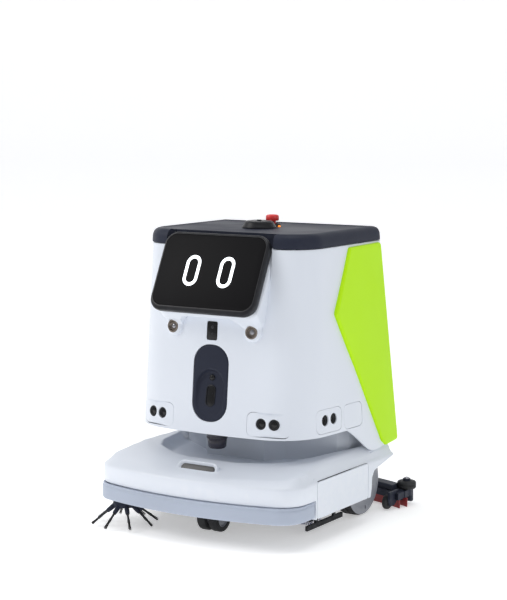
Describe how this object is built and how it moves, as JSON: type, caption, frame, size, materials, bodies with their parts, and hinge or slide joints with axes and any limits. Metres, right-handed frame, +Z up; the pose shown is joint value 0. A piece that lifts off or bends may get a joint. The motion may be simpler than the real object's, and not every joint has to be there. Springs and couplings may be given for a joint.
{
  "type": "robotic floor cleaner",
  "caption": "Self-driving commercial floor sweeper and scrubber with a leaning screen, lidar gap, roller brush, side brush, water tanks and a rear squeegee.",
  "frame": {"origin": "on the floor, in the middle of the machine's box in plan", "axes": "+Z up, the machine drives towards -Y, +X is its left side"},
  "size_m": [0.552, 0.6409, 0.695],
  "materials": {
    "white_shell": "satin",
    "soft_grey_plastic": "satin",
    "dark_plastic": "matte",
    "navy_plastic": "satin",
    "lime_plastic": "satin",
    "screen_glass": "polished",
    "screen_light": "lit",
    "lens_metal": "satin",
    "tank_plastic": "translucent",
    "battery_case": "matte",
    "painted_steel": "powder coated",
    "motor_metal": "cast",
    "contact_brass": "polished",
    "red_plastic": "gloss",
    "amber_light": "lit",
    "black_rubber": "matte",
    "hub_plastic": "satin",
    "black_bristles": "matte",
    "blue_bristles": "matte",
    "roller_core": "satin",
    "red_rubber": "matte"
  },
  "bodies": {
    "base": {"chassis_frame": "painted_steel", "base_cover": "white_shell", "base_pan": "dark_plastic", "sensor_well": "soft_grey_plastic", "slot_window": "dark_plastic", "upper_shell": "white_shell", "rear_cover": "white_shell", "underside_pan": "soft_grey_plastic", "side_panel_left": "lime_plastic", "side_panel_right": "lime_plastic", "screen_mount": "white_shell", "screen_housing": "navy_plastic", "screen_glass": "screen_glass", "screen_eyes": "screen_light", "camera_window": "screen_glass", "corner_lenses": "lens_metal", "nose_panel": "navy_plastic", "nose_lenses": "screen_glass", "sensor_plates": "white_shell", "ultrasonic_sensors": "dark_plastic", "lidar_body": "dark_plastic", "cliff_sensors": "dark_plastic", "clean_tank": "tank_plastic", "recovery_tank": "tank_plastic", "tank_caps": "dark_plastic", "battery_pack": "battery_case", "control_box": "dark_plastic", "vacuum_motor": "motor_metal", "water_pump": "motor_metal", "gear_motors": "motor_metal", "side_brush_motor": "motor_metal", "charge_contacts": "contact_brass", "lid_pins": "painted_steel"},
    "lid": {"lid_shell": "navy_plastic", "top_camera": "navy_plastic", "emergency_stop_base": "dark_plastic", "status_light": "amber_light"},
    "emergency_stop": {"emergency_stop_button": "red_plastic"},
    "wheel_left": {"tyre_left": "black_rubber", "wheel_hub_left": "hub_plastic"},
    "wheel_right": {"tyre_right": "black_rubber", "wheel_hub_right": "hub_plastic"},
    "caster": {"caster_fork": "painted_steel"},
    "caster_wheels": {"caster_wheels": "black_rubber"},
    "side_brush": {"side_brush_hub": "navy_plastic", "side_brush_tufts": "black_bristles"},
    "deck": {"brush_deck": "dark_plastic", "brush_motor": "motor_metal", "side_skirts": "black_rubber"},
    "roller_brush": {"roller_core": "roller_core", "roller_bristles": "blue_bristles"},
    "bumper": {"bumper": "soft_grey_plastic"},
    "brush_door": {"brush_door": "white_shell"},
    "squeegee": {"squeegee_arm": "painted_steel", "squeegee_body": "navy_plastic", "squeegee_blades": "red_rubber", "suction_hose": "black_rubber"},
    "squeegee_wheels": {"squeegee_wheels": "black_rubber"},
    "wall_roller_left": {"wall_roller_left": "black_rubber"},
    "wall_roller_right": {"wall_roller_right": "black_rubber"}
  },
  "joints": [
    {"name": "lid_hinge", "type": "hinge", "parent": "base", "child": "lid", "pos_m": [0, 0.1945, 0.648], "axis": [-1, 0, 0], "range_deg": [0, 75]},
    {"name": "emergency_stop_press", "type": "slide", "parent": "lid", "child": "emergency_stop", "axis": [0, 0, -1], "range_m": [0, 0.004], "stiffness_N_per_m": 900},
    {"name": "wheel_left_spin", "type": "hinge", "parent": "base", "child": "wheel_left", "pos_m": [0.195, 0.1285, 0.076], "axis": [1, 0, 0], "continuous": true},
    {"name": "wheel_right_spin", "type": "hinge", "parent": "base", "child": "wheel_right", "pos_m": [-0.195, 0.1285, 0.076], "axis": [1, 0, 0], "continuous": true},
    {"name": "caster_swivel", "type": "hinge", "parent": "base", "child": "caster", "pos_m": [0, -0.1935, 0.085], "axis": [0, 0, 1], "continuous": true},
    {"name": "caster_wheels_spin", "type": "hinge", "parent": "caster", "child": "caster_wheels", "pos_m": [0, -0.1735, 0.032], "axis": [1, 0, 0], "continuous": true},
    {"name": "side_brush_spin", "type": "hinge", "parent": "base", "child": "side_brush", "pos_m": [-0.197, -0.2415, 0.05], "axis": [0, 0, 1], "continuous": true},
    {"name": "deck_lift", "type": "slide", "parent": "base", "child": "deck", "axis": [0, 0, 1], "range_m": [0, 0.008]},
    {"name": "roller_brush_spin", "type": "hinge", "parent": "deck", "child": "roller_brush", "pos_m": [0, -0.0235, 0.045], "axis": [1, 0, 0], "continuous": true},
    {"name": "bumper_push", "type": "slide", "parent": "base", "child": "bumper", "axis": [0, 1, 0], "range_m": [0, 0.004], "stiffness_N_per_m": 1500},
    {"name": "brush_door_hinge", "type": "hinge", "parent": "base", "child": "brush_door", "pos_m": [0.2602, -0.0535, 0.135], "axis": [0, -1, 0], "range_deg": [0, 85]},
    {"name": "squeegee_lift", "type": "hinge", "parent": "base", "child": "squeegee", "pos_m": [0, 0.1715, 0.09], "axis": [1, 0, 0], "range_deg": [0, 9]},
    {"name": "squeegee_wheels_spin", "type": "hinge", "parent": "squeegee", "child": "squeegee_wheels", "pos_m": [0.237, 0.2065, 0.0175], "axis": [1, 0, 0], "continuous": true},
    {"name": "wall_roller_left_spin", "type": "hinge", "parent": "squeegee", "child": "wall_roller_left", "pos_m": [0.2535, 0.2745, 0.048], "axis": [0, 0, 1], "continuous": true},
    {"name": "wall_roller_right_spin", "type": "hinge", "parent": "squeegee", "child": "wall_roller_right", "pos_m": [-0.2535, 0.2745, 0.048], "axis": [0, 0, 1], "continuous": true}
  ]
}
